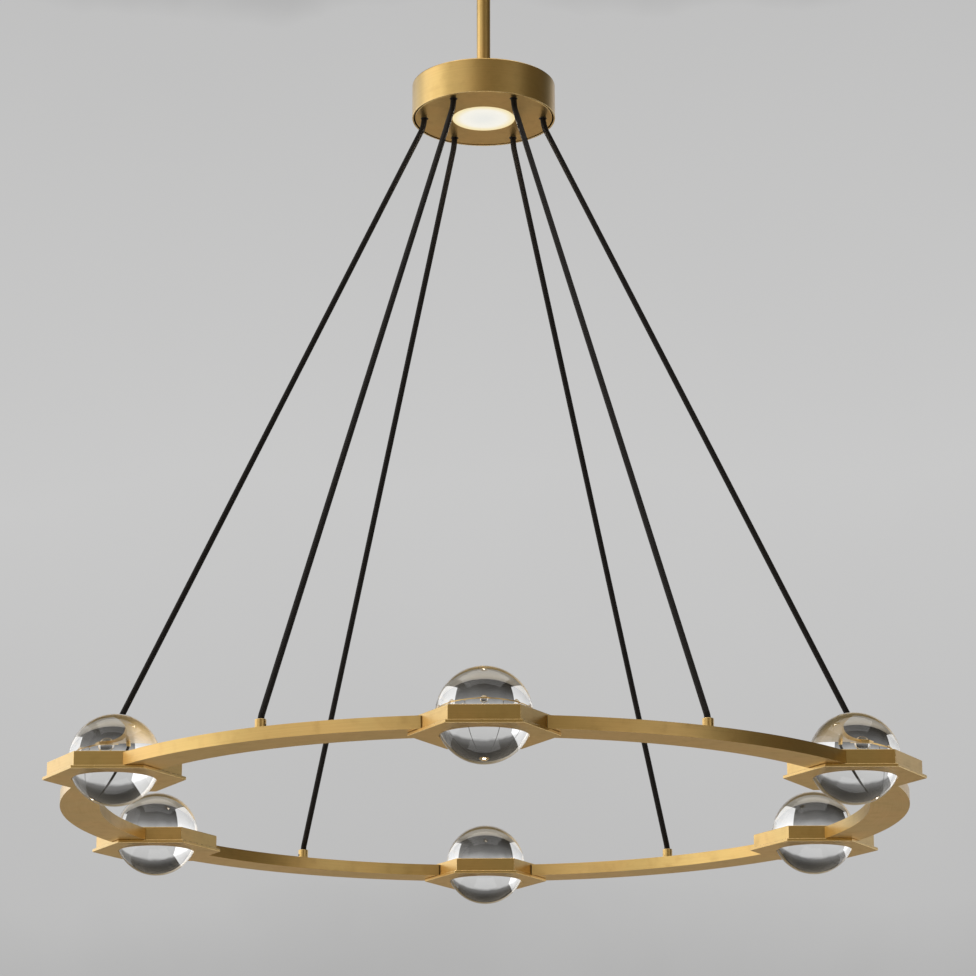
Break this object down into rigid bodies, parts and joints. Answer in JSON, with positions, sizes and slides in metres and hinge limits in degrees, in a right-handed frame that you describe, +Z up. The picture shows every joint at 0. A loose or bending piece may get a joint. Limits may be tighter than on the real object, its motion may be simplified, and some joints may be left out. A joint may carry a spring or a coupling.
{
  "type": "orb chandelier",
  "caption": "Ring chandelier: clear crystal balls in hexagonal brass holders joined by curved arms, hung on black cables from a drum hub with a downlight, on a stem with a ceiling canopy.",
  "frame": {"origin": "on the ceiling plane, at the middle of the mounting strap's screw pattern, on the stem's axis", "axes": "+Z up through the ceiling; X along the mounting strap; one crystal ball lies on -Y, towards the viewer"},
  "size_m": [1.1116, 1.2146, 1.329],
  "materials": {
    "brushed_brass": "satin brushed, lightly aged brass",
    "turned_brass": "turned brass, satin",
    "zinc_steel": "zinc-plated steel",
    "dark_steel": "blackened steel screw",
    "cast_aluminium": "bead-blasted aluminium",
    "bright_aluminium": "bright spun aluminium",
    "black_nylon": "black moulded nylon",
    "white_plastic": "white moulded plastic",
    "white_board": "white lacquered circuit board with yellow emitters",
    "opal_lens": "opal diffusing acrylic, lit",
    "clear_silicone": "clear soft silicone",
    "crystal": "solid polished clear crystal",
    "black_fabric": "black braided textile over a cable"
  },
  "bodies": {
    "ceiling_mount": {"ceiling_strap": "zinc_steel", "strap_studs": "zinc_steel", "canopy": "brushed_brass", "cap_nuts": "brushed_brass"},
    "swivel_seat": {"swivel_seat": "brushed_brass"},
    "swivel_ball": {"swivel_ball": "turned_brass"},
    "pendant": {"swivel_nipple": "zinc_steel", "swivel_lock_nut": "zinc_steel", "stem_tube": "brushed_brass", "hub_nipple": "zinc_steel", "hub_lock_nut": "zinc_steel", "hub_housing": "brushed_brass", "hub_plate": "brushed_brass", "hub_standoffs": "zinc_steel", "hub_screws": "turned_brass", "cable_grips": "turned_brass", "cable_bushings": "black_nylon", "led_drivers": "white_plastic", "diffuser": "opal_lens", "lamp_housing": "cast_aluminium", "chip_board": "white_board", "reflector": "bright_aluminium", "heat_sink": "cast_aluminium", "cable_collars": "turned_brass", "grub_screws": "dark_steel", "seat_rings": "clear_silicone", "light_strips": "white_board", "holder_screws": "turned_brass", "arm_screws": "dark_steel", "cable_1": "black_fabric", "cable_2": "black_fabric", "cable_3": "black_fabric", "cable_4": "black_fabric", "cable_5": "black_fabric", "cable_6": "black_fabric", "arm_1": "brushed_brass", "arm_2": "brushed_brass", "arm_3": "brushed_brass", "arm_4": "brushed_brass", "arm_5": "brushed_brass", "arm_6": "brushed_brass", "holder_body_1": "brushed_brass", "holder_body_2": "brushed_brass", "holder_body_3": "brushed_brass", "holder_body_4": "brushed_brass", "holder_body_5": "brushed_brass", "holder_body_6": "brushed_brass", "holder_plate_1": "brushed_brass", "holder_plate_2": "brushed_brass", "holder_plate_3": "brushed_brass", "holder_plate_4": "brushed_brass", "holder_plate_5": "brushed_brass", "holder_plate_6": "brushed_brass"},
    "ball_1": {"crystal_ball_1": "crystal"},
    "ball_2": {"crystal_ball_2": "crystal"},
    "ball_3": {"crystal_ball_3": "crystal"},
    "ball_4": {"crystal_ball_4": "crystal"},
    "ball_5": {"crystal_ball_5": "crystal"},
    "ball_6": {"crystal_ball_6": "crystal"}
  },
  "joints": [
    {"name": "seat_turn", "type": "hinge", "parent": "ceiling_mount", "child": "swivel_seat", "pos_m": [0, 0, -0.03], "axis": [0, 0, 1], "continuous": true},
    {"name": "swivel_tilt", "type": "hinge", "parent": "swivel_seat", "child": "swivel_ball", "pos_m": [0, 0, -0.03], "axis": [0, 1, 0], "range_deg": [-20, 20]},
    {"name": "stem_turn", "type": "hinge", "parent": "swivel_ball", "child": "pendant", "pos_m": [0, 0, -0.03], "axis": [0, 0, 1], "range_deg": [-175, 175]},
    {"name": "ball_1_lift", "type": "slide", "parent": "pendant", "child": "ball_1", "axis": [0, 0, 1], "range_m": [0, 0.075]},
    {"name": "ball_2_lift", "type": "slide", "parent": "pendant", "child": "ball_2", "axis": [0, 0, 1], "range_m": [0, 0.075]},
    {"name": "ball_3_lift", "type": "slide", "parent": "pendant", "child": "ball_3", "axis": [0, 0, 1], "range_m": [0, 0.075]},
    {"name": "ball_4_lift", "type": "slide", "parent": "pendant", "child": "ball_4", "axis": [0, 0, 1], "range_m": [0, 0.075]},
    {"name": "ball_5_lift", "type": "slide", "parent": "pendant", "child": "ball_5", "axis": [0, 0, 1], "range_m": [0, 0.075]},
    {"name": "ball_6_lift", "type": "slide", "parent": "pendant", "child": "ball_6", "axis": [0, 0, 1], "range_m": [0, 0.075]}
  ]
}
